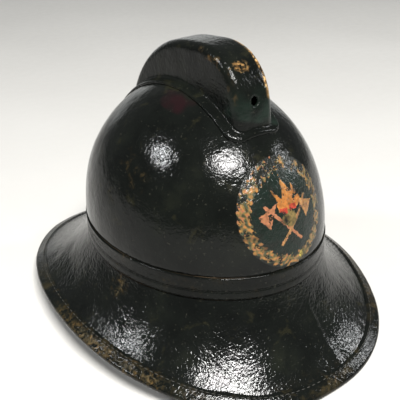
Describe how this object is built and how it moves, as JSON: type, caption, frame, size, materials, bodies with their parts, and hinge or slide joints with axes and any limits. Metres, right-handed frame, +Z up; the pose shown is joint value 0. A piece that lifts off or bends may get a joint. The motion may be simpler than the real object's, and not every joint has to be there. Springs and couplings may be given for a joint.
{
  "type": "firefighter helmet",
  "caption": "Black varnished leather fire helmet with a raised comb, flared brim with a long neck guard, leather liner and strap rings.",
  "frame": {"origin": "on the surface that the brim's front and rear edges rest on, under the middle of the overall length and width", "axes": "+Z up, -Y towards the front peak, +X towards the wearer's left"},
  "size_m": [0.2634, 0.357, 0.2297],
  "materials": {
    "varnished_leather": "thick black varnish, crazed and worn, glossy",
    "edge_leather": "black varnish worn to tan along the edge",
    "band_leather": "black varnish, satin to glossy",
    "lining_leather": "aged brown, matt",
    "cork": "granular cork, matt",
    "brass": "tarnished",
    "ring_wire": "tarnished drawn wire"
  },
  "bodies": {
    "helmet": {"crown_shell": "varnished_leather", "comb_shell": "varnished_leather", "front_peak": "varnished_leather", "neck_guard": "varnished_leather", "edge_binding_front": "edge_leather", "edge_binding_rear": "edge_leather", "hat_band": "band_leather", "sweatband": "lining_leather", "liner_tongue_1": "lining_leather", "liner_tongue_2": "lining_leather", "liner_tongue_3": "lining_leather", "liner_tongue_4": "lining_leather", "liner_tongue_5": "lining_leather", "liner_tongue_6": "lining_leather", "liner_tongue_7": "lining_leather", "liner_tongue_8": "lining_leather", "crown_disc": "lining_leather", "tongue_rivets": "brass", "cork_spacer_1": "cork", "cork_spacer_2": "cork", "cork_spacer_3": "cork", "cork_spacer_4": "cork", "cork_spacer_5": "cork", "cork_spacer_6": "cork", "headband_rivets": "brass", "tab_rivets": "brass", "strap_tab_left": "lining_leather", "strap_tab_right": "lining_leather"},
    "ring_left": {"strap_ring_left": "ring_wire"},
    "ring_right": {"strap_ring_right": "ring_wire"}
  },
  "joints": [
    {"name": "ring_left_swing", "type": "hinge", "parent": "helmet", "child": "ring_left", "pos_m": [0.0839, -0.0162, 0.053], "axis": [0, 1, 0], "range_deg": [-55, 85]},
    {"name": "ring_right_swing", "type": "hinge", "parent": "helmet", "child": "ring_right", "pos_m": [-0.0839, -0.0162, 0.053], "axis": [0, -1, 0], "range_deg": [-55, 85]}
  ]
}
